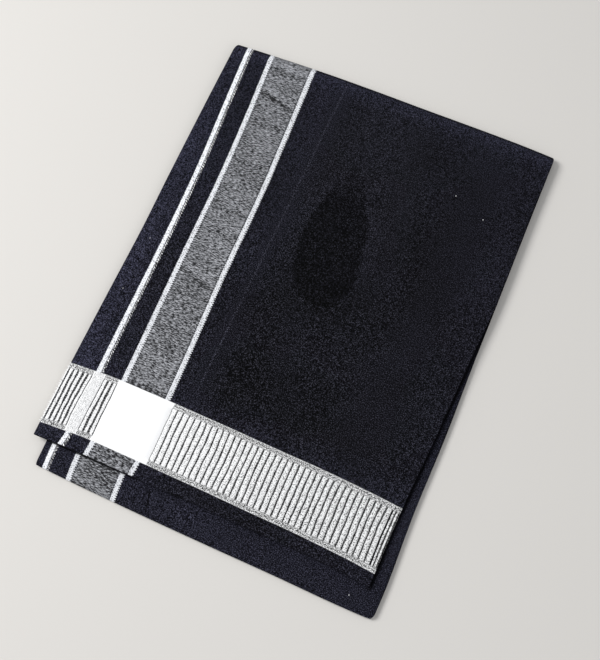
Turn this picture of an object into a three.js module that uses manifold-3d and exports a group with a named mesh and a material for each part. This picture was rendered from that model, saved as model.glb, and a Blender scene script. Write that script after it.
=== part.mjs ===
// A folded lungi: one length of cotton, folded in four across its width and in four along its length,
// lying flat. Millimetres; +X across the folded cloth, +Y along it to the far fold, +Z up from the table.
// Each quarter of the length is a strip of four plies. From the table up they are the under leaf, the
// lower fold's strip, the inner strip and the top leaf. The upper two lie a little turned on the lower two.

import * as THREE from "three";
import { mergeVertices } from "three/addons/utils/BufferGeometryUtils.js";
import Module from "manifold-3d";

// Driving dimensions
const STRIP = 1.9; // four plies of cloth
const SEAM = 0.3; // air between neighbouring strips
const STRIPS = 4; // strips in the stack
const LEAF = 421; // from the top leaf's hem to the far fold
const REACH = 25.5; // how far the near fold comes out beyond the hem
const FAR_NOSE = 9; // length over which the far fold turns down
const NEAR_NOSE = 6; // length over which the near fold turns down
const CORNER = 4; // how far a fold's ends draw in at its corners
const EDGE_ROUND = 0.9; // bulge of a folded or raw long edge
const HEM_SOFT = 0.5; // how much the hem's edge is pressed thinner
const HEM_LENGTH = 1.5; // length over which it is
const INNER_HEM_BACK = 1.2; // the inner hem lies this far behind the top one
const SHOWN_UNDER_HEM = 30; // the near pieces run this far in under the top leaf
const KNIT = 0.05; // how far the two hidden strips reach into each other, which makes them one solid

// The ribbed cross band near the hem, with a raised piping along each of its edges
const BAND_FROM_HEM = 12.2;
const BAND_LENGTH = 59.6;
const PIPING = 4.4;
const PIPING_RISE = 0.45;
const PIPING_SLOPE = 0.8; // length over which each side of the piping rises
const GUTTER_RISE = 0.1; // between the piping and the ribs' ends
const RIB_RISE = 0.5;
const RIB_END = 1.4; // length over which a rib's end rounds up
const RIB_SHARES = [0, 0.2, 0.5, 0.8]; // columns on a rib, as shares of its width
const BLOCK_RISE = 0.3;
const BLOCK_SHARES = [0, 0.12, 0.5, 0.88]; // columns on a plain block

// The band's parts across the cloth; a part of no ribs is a plain block of white weave
const BAND_PARTS = [
  { from: -162.5, to: -140.5, ribs: 5 },
  { from: -140.5, to: -130.1, ribs: 0 },
  { from: -130.1, to: -117.1, ribs: 3 },
  { from: -117.1, to: -63.5, ribs: 0 },
  { from: -63.5, to: 149.8, ribs: 39 },
];

// Long edges at stations along the cloth, for the upper two strips and for the lower two
const SIDES = [
  { y: -226, topLeft: -163.8, topRight: 150.2, lowLeft: -151.6, lowRight: 163.2 },
  { y: -190, topLeft: -163.9, topRight: 150.4, lowLeft: -152.0, lowRight: 163.9 },
  { y: -125, topLeft: -162.6, topRight: 151.4, lowLeft: -153.2, lowRight: 162.0 },
  { y: -55, topLeft: -161.0, topRight: 154.8, lowLeft: -155.0, lowRight: 162.4 },
  { y: 13, topLeft: -159.3, topRight: 157.0, lowLeft: -156.6, lowRight: 161.0 },
  { y: 75, topLeft: -159.3, topRight: 159.8, lowLeft: -157.6, lowRight: 160.4 },
  { y: 160, topLeft: -158.6, topRight: 158.6, lowLeft: -157.9, lowRight: 159.3 },
  { y: 226, topLeft: -157.6, topRight: 158.9, lowLeft: -157.6, lowRight: 158.9 },
];

// The hem and the two folds at stations across the cloth
const ENDS = [
  { x: -165, hem: -196.4, farFold: 216.2, nearFold: -218.2 },
  { x: -120, hem: -196.0, farFold: 219.2, nearFold: -220.4 },
  { x: -70, hem: -196.6, farFold: 221.8, nearFold: -221.9 },
  { x: -20, hem: -196.6, farFold: 223.2, nearFold: -223.0 },
  { x: 30, hem: -197.4, farFold: 223.9, nearFold: -223.7 },
  { x: 75, hem: -198.0, farFold: 224.8, nearFold: -224.3 },
  { x: 120, hem: -199.4, farFold: 225.4, nearFold: -225.4 },
  { x: 150, hem: -201.8, farFold: 225.0, nearFold: -225.6 },
  { x: 165, hem: -203.0, farFold: 224.4, nearFold: -225.2 },
];

// The top leaf's largest soft creases: a line, its half width, and its height, which is below zero in
// a trough
const CREASES = [
  { fromX: -44, fromY: 205, toX: -50, toY: -112, width: 8, height: 0.4 },
  { fromX: 40, fromY: 190, toX: 52, toY: 30, width: 26, height: -0.35 },
  { fromX: 112, fromY: 180, toX: 96, toY: -90, width: 22, height: 0.35 },
  { fromX: -20, fromY: 20, toX: 30, toY: -96, width: 20, height: -0.3 },
  { fromX: -104, fromY: 196, toX: -88, toY: 120, width: 11, height: 0.3 },
  { fromX: -108, fromY: 40, toX: -84, toY: -30, width: 12, height: -0.3 },
];

// The upper strips' left edge droops where no strip lies under it: where that starts, outside the strips
// below, and the droop for each square millimetre of overhang
const DROOP_START = 1.5;
const DROOP = 0.012;
const INNER_BACK = 0.8; // the inner strip's long edges lie this far inside the top leaf's

// Scallops at a strip's long edges: two pairs of plies end at the left, and all four turn at the right
const ROUNDS = { left: 2, right: 1 };

// Columns across a strip, and how much they close up at the left, where the upper strips droop
const OUTER = { columns: 36, crowding: 1.3 };
const INNER = { columns: 20, crowding: 1.6 };
const LOWER = { columns: 12, crowding: 1 };

const CREASE_FADE = 12; // creases and ribs fade out over one part in this many of the width, at each side
const NOSE_END = 0.45 * Math.PI; // a near or inner fold's last section stands at this angle
const SAME_POINT = 1e-3; // points closer than this are one
const OUTER_COLOUR = 0x16171c;
const INNER_COLOUR = 0x131418;

const wasm = await Module();
wasm.setup();

const STACK = STRIPS * STRIP + (STRIPS - 1) * SEAM;
const HEM_Y = -197;
const { lerp, clamp } = THREE.MathUtils;

// Underside height of a strip, counted from the table
const level = (strip) => strip * (STRIP + SEAM);

// A smooth value from a table: `column` at the place `at` of the column `key`
function sample(table, key, column, at) {
  const place = clamp(at, table[0][key], table.at(-1)[key]);
  let i = 0;
  while (i < table.length - 2 && table[i + 1][key] < place) i += 1;
  const slope = (j) => {
    const before = table[Math.max(j - 1, 0)];
    const after = table[Math.min(j + 1, table.length - 1)];
    return (after[column] - before[column]) / (after[key] - before[key]);
  };
  const step = table[i + 1][key] - table[i][key];
  const t = (place - table[i][key]) / step;
  const held = table[i][column] * (1 + 2 * t) * (1 - t) ** 2 + table[i + 1][column] * (3 - 2 * t) * t * t;
  const turned = slope(i) * t * (1 - t) ** 2 + slope(i + 1) * t * t * (t - 1);
  return held + turned * step;
}

// Where a point of a strip lies on the table: `across` from 0 at the left to 1 at the right, and `from`
// the hem in millimetres, below zero towards the near fold
function plan(layer, across, from, drawIn = 0) {
  const row = HEM_Y + from;
  const left = sample(SIDES, "y", `${layer}Left`, row) + drawIn + EDGE_ROUND;
  const right = sample(SIDES, "y", `${layer}Right`, row) - drawIn - EDGE_ROUND;
  const x = lerp(left, right, across);
  const hem = sample(ENDS, "x", "hem", x);
  const end = sample(ENDS, "x", from < 0 ? "nearFold" : "farFold", x);
  return { x, y: lerp(hem, end, Math.abs(from) / (from < 0 ? REACH : LEAF)) };
}

// Height that the soft creases add to the top leaf's outer face
function creaseLift(x, y) {
  return CREASES.reduce((sum, crease) => {
    const line = new THREE.Vector2(crease.toX - crease.fromX, crease.toY - crease.fromY);
    const to = new THREE.Vector2(x - crease.fromX, y - crease.fromY);
    const along = clamp(to.dot(line) / line.lengthSq(), 0, 1);
    const away = to.addScaledVector(line, -along).length() / crease.width;
    return sum + crease.height * Math.exp(-away * away);
  }, 0);
}

// How far the upper strips' left edge hangs down where it reaches beyond the strips below
function droop(x, y) {
  const overhang = Math.max(sample(SIDES, "y", "lowLeft", y) - DROOP_START - x, 0);
  return DROOP * overhang * overhang;
}

// Relief of the cross band at a place across the cloth: grooves between ribs, and plain blocks
function bandRelief(x) {
  const part = BAND_PARTS.find(({ to }) => x < to) ?? BAND_PARTS.at(-1);
  const place = clamp((x - part.from) / (part.to - part.from), 0, 1);
  const edge = Math.min(place, 1 - place) / BLOCK_SHARES[1];
  if (part.ribs === 0) return BLOCK_RISE * Math.min(1, edge);
  return RIB_RISE * Math.sqrt(Math.abs(Math.sin(Math.PI * place * part.ribs)));
}

// Places across the cloth from 0 to 1; a crowding above 1 brings them closer together at the left
function plainColumns({ columns, crowding }) {
  return Array.from({ length: columns + 1 }, (_, i) => (i / columns) ** crowding);
}

// Places across the cloth that fall on each rib's groove, flanks and crest, and on each block's edges
function ribbedColumns(row) {
  const left = plan("top", 0, row).x;
  const right = plan("top", 1, row).x;
  const stops = BAND_PARTS.flatMap(({ from, to, ribs }) => {
    const shares = ribs === 0 ? BLOCK_SHARES : RIB_SHARES;
    const cells = Math.max(ribs, 1);
    const cell = (_, i) => shares.map((share) => lerp(from, to, (i + share) / cells));
    return Array.from({ length: cells }, cell).flat();
  });
  const inside = stops.filter((x) => x > left + EDGE_ROUND / 2 && x < right - EDGE_ROUND / 2);
  return [0, ...inside.map((x) => (x - left) / (right - left)), 1];
}

// A run of points from one corner of a section to the other, bulging sideways in `rounds` scallops
function scallops(from, to, bulge, rounds) {
  const run = [from];
  for (let round = 0; round < rounds; round += 1) {
    for (const angle of [Math.PI / 4, Math.PI / 2, (3 * Math.PI) / 4, Math.PI]) {
      const point = from.clone().lerp(to, (round + (1 - Math.cos(angle)) / 2) / rounds);
      point.x += bulge * Math.sin(angle);
      run.push(point);
    }
  }
  run[run.length - 1] = to;
  return run;
}

// A closed section of a strip from its outer and inner faces, both listed from left to right
function section(top, bottom) {
  return {
    top,
    right: scallops(top.at(-1), bottom.at(-1), EDGE_ROUND, ROUNDS.right),
    bottom: [...bottom].reverse(),
    left: scallops(bottom[0], top[0], -EDGE_ROUND, ROUNDS.left),
  };
}

// Fills the band between two runs of points, which may differ in number
function zip(triangles, a, b) {
  const share = (run) => {
    const lengths = run.map((point, i) => (i === 0 ? 0 : point.distanceTo(run[i - 1])));
    let sum = 0;
    const sums = lengths.map((length) => (sum += length));
    return sums.map((value) => value / sum);
  };
  const [shareA, shareB] = [share(a), share(b)];
  let [i, j] = [0, 0];
  while (i < a.length - 1 || j < b.length - 1) {
    if (j === b.length - 1 || (i < a.length - 1 && shareA[i + 1] <= shareB[j + 1])) {
      triangles.push([a[i], a[i + 1], b[j]]);
      i += 1;
    } else {
      triangles.push([a[i], b[j + 1], b[j]]);
      j += 1;
    }
  }
}

// Closes the end of a strip: each scallop is a fan, and the rest runs between the two faces
function cap(triangles, { top, right, bottom, left }) {
  const fan = (hub, run) => run.slice(1).forEach((point, i) => triangles.push([hub, point, run[i]]));
  const seats = (run, count) => run.filter((_, i) => i % ((run.length - 1) / count) === 0);
  for (const [run, count] of [[right, ROUNDS.right], [left, ROUNDS.left]]) {
    const step = (run.length - 1) / count;
    for (let round = 0; round < count; round += 1) {
      const arc = run.slice(round * step, (round + 1) * step + 1);
      fan(arc[0], arc.slice(1));
    }
  }
  fan(top[1], [bottom.at(-2), ...seats(left, ROUNDS.left)]);
  fan(top.at(-2), [...seats(right, ROUNDS.right), bottom[1]]);
  zip(triangles, bottom.slice(1, -1).reverse(), top.slice(1, -1));
}

// A strip's solid through its sections, which run from the near end to the far one
function strip(name, sections, colour) {
  const triangles = [];
  for (let i = 1; i < sections.length; i += 1) {
    for (const run of ["top", "right", "bottom", "left"]) {
      zip(triangles, sections[i - 1][run], sections[i][run]);
    }
  }
  cap(triangles, sections[0]);
  const farEnd = [];
  cap(farEnd, sections.at(-1));
  triangles.push(...farEnd.map(([a, b, c]) => [a, c, b]));
  const geometry = new THREE.BufferGeometry().setFromPoints(triangles.flat());
  geometry.computeVertexNormals();
  const material = new THREE.MeshStandardMaterial({ color: colour, roughness: 0.95, metalness: 0 });
  const mesh = new THREE.Mesh(geometry, material);
  mesh.name = name;
  return mesh;
}

const at = ({ x, y }, z) => new THREE.Vector3(x, y, z);
const steps = (from, to, count) => Array.from({ length: count + 1 }, (_, i) => lerp(from, to, i / count));

// One flat section of a lower strip, `from` the hem, between two heights
function lowerSection(from, low, high, drawIn = 0) {
  const face = (z) => plainColumns(LOWER).map((u) => at(plan("low", u, from, drawIn), z));
  return section(face(high), face(low));
}

// The same of the inner strip, which follows the top leaf and droops with it
function innerSection(from, low, high) {
  const face = (z) =>
    plainColumns(INNER).map((u) => {
      const place = plan("top", u, from, INNER_BACK);
      return at(place, z - droop(place.x, place.y));
    });
  return section(face(high), face(low));
}

// The top leaf: hem, cross band and field, then down the far fold to the middle of the stack
function topLeaf() {
  const inside = STACK - STRIP;
  const fold = STACK / 2 + SEAM / 2;
  const under = plainColumns(INNER);
  const inner = (from) =>
    under.map((u) => {
      const place = plan("top", u, from);
      return at(place, inside - droop(place.x, place.y));
    });
  const row = (from, columns, rise, pressed = 0) => {
    const outer = columns.map((u) => {
      const place = plan("top", u, from);
      const edge = Math.min(1, CREASE_FADE * u, CREASE_FADE * (1 - u));
      const lift = (creaseLift(place.x, place.y) + rise(place.x)) * edge;
      return at(place, STACK - pressed + lift - droop(place.x, place.y));
    });
    const lower = inner(from).map((point) => point.setZ(point.z + pressed));
    return section(outer, lower);
  };
  const none = () => 0;
  const plain = plainColumns(OUTER);
  const ribbed = ribbedColumns(BAND_FROM_HEM);
  const bandEnd = BAND_FROM_HEM + BAND_LENGTH;
  const piping = () => PIPING_RISE;
  const gutter = () => GUTTER_RISE;
  const sections = [
    row(0, plain, none, HEM_SOFT),
    row(HEM_LENGTH, plain, none),
    row(BAND_FROM_HEM / 2, plain, none),
    row(BAND_FROM_HEM, plain, none),
    row(BAND_FROM_HEM + PIPING_SLOPE, plain, piping),
    row(BAND_FROM_HEM + PIPING - PIPING_SLOPE, plain, piping),
    row(BAND_FROM_HEM + PIPING, ribbed, gutter),
    row(BAND_FROM_HEM + PIPING + RIB_END, ribbed, bandRelief),
    row((BAND_FROM_HEM + bandEnd) / 2, ribbed, bandRelief),
    row(bandEnd - PIPING - RIB_END, ribbed, bandRelief),
    row(bandEnd - PIPING, ribbed, gutter),
    row(bandEnd - PIPING + PIPING_SLOPE, plain, piping),
    row(bandEnd - PIPING_SLOPE, plain, piping),
    row(bandEnd, plain, none),
    ...steps(bandEnd + BAND_FROM_HEM, LEAF - FAR_NOSE, 17).map((from) => row(from, plain, none)),
  ];
  for (const turn of steps(0, Math.PI / 2, 7).slice(1)) {
    const drawIn = CORNER * (1 - Math.cos(turn));
    const face = (columns, thick) =>
      columns.map((u) => {
        const place = plan("top", u, LEAF, drawIn);
        place.y += (FAR_NOSE - thick) * Math.sin(turn) - FAR_NOSE;
        return at(place, fold + (STACK - thick - fold) * Math.cos(turn));
      });
    sections.push(section(face(plain, 0), face(under, STRIP)));
  }
  return strip("top_leaf", sections, OUTER_COLOUR);
}

// The cloth's other end, whose hem shows under the top leaf's
function innerHem() {
  const [low, high] = [level(2), level(2) + STRIP];
  const sections = [
    innerSection(INNER_HEM_BACK, low + HEM_SOFT, high - HEM_SOFT),
    innerSection(INNER_HEM_BACK + HEM_LENGTH, low, high),
    innerSection(SHOWN_UNDER_HEM / 2, low, high),
    innerSection(SHOWN_UNDER_HEM - SEAM / 2, low, high),
  ];
  return strip("inner_hem", sections, OUTER_COLOUR);
}

// The strip above the near fold, whose outer face rounds down to the seam at the fold's middle
function lowerFold() {
  const low = level(1);
  const nose = steps(NOSE_END, 0, 5).map((turn) => {
    const from = -REACH + NEAR_NOSE * (1 - Math.sin(turn));
    return lowerSection(from, low, low + STRIP * Math.cos(turn), CORNER * (1 - Math.cos(turn)));
  });
  const places = [-REACH / 2, 0, SHOWN_UNDER_HEM - SEAM / 2];
  const flat = places.map((from) => lowerSection(from, low, low + STRIP));
  return strip("lower_fold", [...nose, ...flat], OUTER_COLOUR);
}

// The leaf on the table: its underside is flat, and rounds up into the lower half of each fold
function underLeaf() {
  const fold = STACK / 2 - SEAM / 2;
  const nose = steps(NOSE_END, 0, 5).map((turn) => {
    const from = -REACH + NEAR_NOSE * (1 - Math.sin(turn));
    return lowerSection(from, STRIP * (1 - Math.cos(turn)), STRIP, CORNER * (1 - Math.cos(turn)));
  });
  const places = steps(-REACH + 2 * NEAR_NOSE, LEAF - FAR_NOSE, 12);
  const flat = places.map((from) => lowerSection(from, 0, STRIP));
  const wrap = steps(0, Math.PI / 2, 7).slice(1).map((turn) => {
    const drawIn = CORNER * (1 - Math.cos(turn));
    const face = (thick) =>
      plainColumns(LOWER).map((u) => {
        const place = plan("low", u, LEAF, drawIn);
        place.y += (FAR_NOSE - thick) * Math.sin(turn) - FAR_NOSE;
        return at(place, fold - (fold - thick) * Math.cos(turn));
      });
    return section(face(STRIP), face(0));
  });
  return strip("under_leaf", [...nose, ...flat, ...wrap], OUTER_COLOUR);
}

// A mesh as a solid that can be joined to another
function solidOf({ geometry }) {
  const bare = new THREE.BufferGeometry().setAttribute("position", geometry.getAttribute("position"));
  const { attributes, index } = mergeVertices(bare, SAME_POINT);
  const vertProperties = attributes.position.array;
  const triVerts = new Uint32Array(index.array);
  return new wasm.Manifold(new wasm.Mesh({ numProp: 3, vertProperties, triVerts }));
}

// The hidden parts of the two middle strips as one solid, layered at its long edges, with its own fold
// inside the far one
function hiddenLayers() {
  const [low, high] = [level(1), level(2) + STRIP];
  const middle = (low + high) / 2;
  const seat = low + STRIP;
  const flat = steps(SHOWN_UNDER_HEM + SEAM / 2, LEAF - FAR_NOSE, 11);
  const half = middle - low;
  const turns = steps(0, NOSE_END, 5).slice(1);
  const nose = (layer, columns, back, height, inner) =>
    turns.map((turn) => {
      const face = (z) =>
        plainColumns(columns).map((u) => {
          const place = plan(layer, u, LEAF, CORNER * (1 - Math.cos(turn)) + back);
          place.y += (FAR_NOSE - STRIP - SEAM) * Math.sin(turn) - FAR_NOSE;
          return at(place, z);
        });
      const outer = middle + height * Math.cos(turn);
      return section(face(Math.max(outer, inner)), face(Math.min(outer, inner)));
    });
  const upperSections = [
    ...flat.map((from) => innerSection(from, seat - KNIT, high)),
    ...nose("top", INNER, INNER_BACK, half, seat - KNIT),
  ];
  const lowerSections = [
    ...flat.map((from) => lowerSection(from, low, seat)),
    ...nose("low", LOWER, 0, -half, seat),
  ];
  const upper = strip("upper", upperSections, INNER_COLOUR);
  const lower = strip("lower", lowerSections, INNER_COLOUR);
  const joined = solidOf(upper).add(solidOf(lower)).getMesh();
  const geometry = new THREE.BufferGeometry();
  geometry.setAttribute("position", new THREE.BufferAttribute(joined.vertProperties, 3));
  geometry.setIndex(new THREE.BufferAttribute(joined.triVerts, 1));
  geometry.computeVertexNormals();
  const mesh = new THREE.Mesh(geometry, upper.material);
  mesh.name = "hidden_layers";
  return mesh;
}

const lungi = new THREE.Group();
lungi.name = "folded_lungi";
lungi.add(topLeaf(), innerHem(), lowerFold(), underLeaf(), hiddenLayers());

export default lungi;
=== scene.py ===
"""A folded black lungi with a woven border, on its CAD frame.

Metres in Blender; the tables below are in millimetres, as they are measured. +X runs across the folded
cloth, +Y along it to the far fold and +Z up from the table. The cloth is folded in four along its
length: from the table up its strips are under, lower, inner and top, and each strip is four plies that
run to and fro across the width.
"""

import math
import random
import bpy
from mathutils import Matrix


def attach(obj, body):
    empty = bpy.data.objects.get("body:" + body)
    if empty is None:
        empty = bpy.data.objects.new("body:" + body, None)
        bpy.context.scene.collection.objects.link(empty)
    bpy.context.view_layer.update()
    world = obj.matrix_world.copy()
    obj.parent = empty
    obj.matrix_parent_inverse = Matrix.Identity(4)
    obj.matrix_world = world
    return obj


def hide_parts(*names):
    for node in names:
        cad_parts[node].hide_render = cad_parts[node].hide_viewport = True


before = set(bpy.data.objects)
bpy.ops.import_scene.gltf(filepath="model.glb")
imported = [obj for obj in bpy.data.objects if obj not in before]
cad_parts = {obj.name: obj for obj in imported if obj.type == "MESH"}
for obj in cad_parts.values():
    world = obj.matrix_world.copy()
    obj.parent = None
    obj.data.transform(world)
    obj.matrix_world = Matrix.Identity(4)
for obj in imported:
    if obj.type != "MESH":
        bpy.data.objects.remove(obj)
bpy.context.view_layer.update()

from types import SimpleNamespace

import bpy
import numpy as np
from mathutils import Vector, noise

bl_info = {
    "name": "Folded Lungi",
    "version": (1, 0, 0),
    "blender": (4, 5, 0),
    "location": "3D View > Sidebar > Lungi",
    "description": "Models a folded lungi with a woven border and a ribbed cross band",
    "category": "Add Mesh",
}

MM = 0.001

# Lengths along the cloth, from the top leaf's hem
HEM_Y = -197.0
LEAF = 421.0
REACH = 25.5
FAR_NOSE = 9.0
NEAR_NOSE = 6.0
CLOTH_WIDTH = 1270.0
CLOTH_LENGTH = 1780.0
# Lengths of cloth in three of the strips, each to the middles of its folds
TOP_STRETCH = 422.0
UNDER_STRETCH = 448.0
INNER_STRETCH = 417.0

# Heights of the strips and of the plies in them
STRIP = 1.9
SEAM = 0.3
STACK = 8.5
FAR_MIDDLE = STACK / 2
NEAR_MIDDLE = STRIP + SEAM / 2
PLY = 0.4
SECOND_PLY = 0.95
THIRD_PLY = 0.97
INNER_FOLD_REACH = FAR_NOSE - STRIP - SEAM
# Where the flat of the strips ends at the far and the near fold
FAR_FLAT = LEAF - FAR_NOSE
NEAR_FLAT = -REACH + NEAR_NOSE
INNER_HEM_BACK = 1.2

# The ribbed cross band
BAND_NEAR = 12.5
BAND_FAR = 71.4
PIPING = 4.4
BAND_ROW = -155.0
BAND_PARTS = [
    {"from": -161.4, "to": -140.2, "ribs": 5},
    {"from": -140.2, "to": -130.0, "ribs": 0},
    {"from": -130.0, "to": -117.0, "ribs": 3},
    {"from": -117.0, "to": -63.4, "ribs": 0},
    {"from": -63.4, "to": 144.1, "ribs": 38},
    {"from": 144.1, "to": 150.0, "ribs": 2},
]
# How the band bows along y: x, then what it gains
BAND_BOW = np.array([
    [-165, -0.3],
    [-145, 0.5],
    [-125, 1.6],
    [-80, 1.75],
    [-60, 1.6],
    [-40, 1.1],
    [0, 0.6],
    [40, 0.1],
    [80, -0.3],
    [100, -0.75],
    [120, -1.1],
    [165, -1.2],
])
RIB_SHARES = [0.0, 0.1, 0.24, 0.5, 0.76, 0.9]
RIB_HEIGHTS = [0.0, 0.55, 0.88, 1.0, 0.88, 0.55]
# Rows in from each end of the band: how far, then the shares of the piping's and the ribs' heights
BAND_END_ROWS = (
    (0.0, 0.0, 0.0),
    (0.5, 0.7, 0.0),
    (1.2, 1.0, 0.0),
    (PIPING / 2, 0.8, 0.0),
    (PIPING - 1.0, 1.0, 0.0),
    (PIPING - 0.3, 0.5, 0.0),
    (PIPING + 0.1, 1 / 9, 0.0),
    (PIPING + 0.5, 0.0, 0.6),
    (PIPING + 1.1, 0.0, 0.9),
)
# Where the ribs have their whole height, in from the piping, and the rows there
WHOLE_RIBS = 2.2
WHOLE_RIB_ROWS = 12
# Rows from the hem to the band
HEM_ROWS = (0, 0.4, 1.5, 4, 8, 11.4)

# Long edges of the strips at stations along the cloth: y, then left and right of the upper two strips,
# then left and right of the lower two
SIDES = np.array([
    [-226, -163.8, 150.2, -151.6, 163.2],
    [-190, -163.9, 150.4, -152.0, 163.9],
    [-125, -162.6, 151.4, -153.2, 162.0],
    [-55, -161.0, 154.8, -155.0, 162.4],
    [13, -159.3, 157.0, -156.6, 161.0],
    [75, -159.3, 159.8, -157.6, 160.4],
    [160, -158.6, 158.6, -157.9, 159.3],
    [226, -157.6, 158.9, -157.6, 158.9],
])
SIDE_COLUMNS = {"top": (1, 2), "low": (3, 4)}

# Hem and folds at stations across the cloth: x, then y of the hem, the far fold and the near fold
ENDS = np.array([
    [-165, -196.4, 216.2, -218.2],
    [-120, -196.0, 219.2, -220.4],
    [-70, -196.6, 221.8, -221.9],
    [-20, -196.6, 223.2, -223.0],
    [30, -197.4, 223.9, -223.7],
    [75, -198.0, 224.8, -224.3],
    [120, -199.4, 225.4, -225.4],
    [150, -201.8, 225.0, -225.6],
    [165, -203.0, 224.4, -225.2],
])
HEM, FAR_FOLD, NEAR_FOLD = 1, 2, 3

# Middles of the border's three white lines: y, then x of each
TOP_LINES = np.array([
    [-200, -139.4, -114.7, -72.4],
    [-183, -136.8, -113.6, -71.2],
    [-160, -136.1, -112.9, -70.5],
    [-100, -136.2, -112.7, -71.0],
    [0, -135.6, -114.2, -73.7],
    [80, -136.6, -114.5, -73.9],
    [145, -140.0, -116.8, -76.3],
    [212, -143.6, -120.9, -79.5],
])
LOW_LINES = np.array([
    [-219, -142.7, -119.9, -77.8],
    [-198, -143.7, -121.3, -79.2],
    [-100, -144.0, -121.6, -79.8],
    [226, -143.6, -121.0, -79.8],
])
# The same lines' distances from the selvedge on the flat cloth
LINE_PLACES = (26.0, 48.4, 89.4)
LINE_WIDTH = 4.4
# x of the zari's middle, and the troughs across it, with painted shade in each and a painted highlight beside
# it: y there, slope and depth
ZARI_X = -98.0
ZARI_TROUGHS = ((205.0, 0.02, 0.6), (175.0, 0.23, 1.0), (-13.0, 0.28, 0.8))
# Specks of lint: x, y and half width
LINT = (
    (89.1, 152.7, 0.34),
    (120.0, 140.6, 0.36),
    (137.6, -214.2, 0.35),
    (-148.5, 5.8, 0.25),
    (-150.2, -46.7, 0.25),
)

# Distance from the hem, along the cloth, past which it belongs to the strips below the top one
LOWER_STRIPS_START = 600.0
# Painted shadow of the top leaf's right edge: a dark line beside it, on the strip below
GAP_SHADOW = {"x": 150.2, "y": -148.0, "slope": 0.041, "near_y": -204.0}
# Painted shade in a small crease on the near fold
NEAR_CREASE_SHADE = {"x": -49.3, "y": -210.0, "slope": 0.226, "half_length": 9.0}
# Painted shade on dark rims where the cloth turns down: at the right edge, and along the cloth at the far
# fold
RIM_SHADE = {"x": 163.9, "y": -190.0, "slope": 0.012, "far_start": 418.5, "far_end": 430.0}
# Painted highlight along the ridge of a faint crease down the field, and the paler middle of the field
FAINT_LINE = {"x": -47.5, "y": 50.0, "slope": 0.018, "near_y": -100.0}
PALE_FIELD = {"x": 4.0, "y": 125.0, "half_width": 62.0, "half_length": 105.0}
# The dark patch: its middle, how far it reaches up, down and sideways, its lean, and its fainter tip
PATCH = {
    "x": 7.5, "y": 62.0, "up": 85.0, "down": 58.0, "half_width": 33.0,
    "lean": 0.1, "lean_y": 35.0, "tip_y": 118.0,
}
FAINT_PATCHES = (
    {"x": 15.0, "y": -74.0, "half_width": 62.0, "half_length": 22.0, "edge": 0.7, "soft": 1.0, "share": 0.36},
    {"x": 5.0, "y": -106.0, "half_width": 34.0, "half_length": 9.0, "edge": 0.8, "soft": 0.7, "share": 0.4},
)

# Grain that is alike every way: scale per metre, detail and roughness of the noise
EVEN_GRAINS = {
    "fine": (1250.0, 0.0, 0.5),
    "coarse": (330.0, 2.0, 0.5),
    "mottle": (16.0, 3.0, 0.55),
    "wobble": (260.0, 2.0, 0.5),
}
# Grain with a direction: scales across and along per millimetre, detail and roughness of the noise
LONG_GRAINS = {
    "streak": (0.3, 1.12, 0.0, 0.5),
    "swirl": (0.11, 0.42, 2.0, 0.5),
    "weft_wave": (0.028, 0.11, 2.0, 0.5),
    "speck": (1.1, 0.8, 1.0, 0.6),
    "thread": (1.3, 0.22, 1.0, 0.5),
}
SWIRL_LEAN = 0.5
SWIRL_TURN = 0.3
# Lengths along the cloth after which a pattern of the yarn repeats
TWIST_PITCH = 2.2
NOTCH_PITCH = 2.1
HATCH_PITCH = 2.5
DOT_PITCH = 2.3
# How much wider the grooves are at the left of the zari, and at its right
LEFT_GROOVE = 1.5
RIGHT_GROOVE = 1.08
# Ribs of a part of the band above which their flanks are shaded
SHADED_RIBS = 5
# Where the first white line crosses the band
LINE_CROSSING = (-139.6, -130.6)

# Soft creases of the top leaf: from x, y to x, y, half width, and height, below zero in a trough
CREASES = [
    (-44, 205, -50, -112, 8, 0.4),
    (40, 190, 52, 30, 26, -0.35),
    (112, 180, 96, -90, 22, 0.35),
    (-20, 20, 30, -96, 20, -0.3),
    (-104, 196, -88, 120, 11, 0.3),
    (-108, 40, -84, -30, 12, -0.3),
    (-118, 171, -78, 171, 5, -0.3),
    (-114, -13, -76, -10, 6, -0.3),
]

# How far each end of a fold draws in, at the left and the right
CORNERS = {"far outer": (3.0, 1.4), "far inner": (4.0, 4.0), "near": (0.6, 3.2)}

# The strips: which sides they follow, the height of the outer face, and 1 where that face is up
STRIPS = {
    "top": {"side": "top", "height": STACK, "facing": 1},
    "inner": {"side": "top", "height": 2 * (STRIP + SEAM), "facing": -1},
    "lower": {"side": "low", "height": 2 * STRIP + SEAM, "facing": 1},
    "under": {"side": "low", "height": 0.0, "facing": -1},
}

# The top strips' left edge hangs over the lower strips' and droops: where it starts, and how steeply
DROOP_START = 1.5
DROOP = 0.012

# The plies' edges in each strip, added to its long edges: the first and third turns at the right, the
# selvedge and the second turn at the left, and the last ply's end
PLY_OFFSETS = {
    "top": (0.0, -0.6, 0.2, 0.5, 1.0),
    "inner": (-0.8, -1.2, 1.0, 1.4, 0.8),
    "lower": (0.0, -0.4, 0.2, 0.4, 0.5),
    "under": (0.0, -0.5, 0.3, 0.2, 0.6),
}
PLY_COLUMNS = 13
TURN_STEPS = 7
PLAIN_COLUMNS = 68
NOSE_ROWS = 8
BLOCK_COLUMNS = 8
BLOCK_HEIGHT = 0.55

# How sharply the long edges' bends and the folds' drawn-in ends die out towards the middle
EDGE_POWER = 4
CORNER_POWER = 7
# Parts of the width, from each side, over which creases and the ribs' sway come in
CREASE_EDGE = 14
SWAY_EDGE = 30
# The band's bow comes in over this length from the hem, and goes out over another before its end
BOW_START = 10
BOW_END = 150
BOW_FADE = 76
# Uneven height of the cloth that shows: seed, length and size
TOP_RIPPLE = (1, 34, 0.12)
LOW_RIPPLE = (2, 30, 0.35)
LOW_RIPPLE_START = 4


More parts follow.
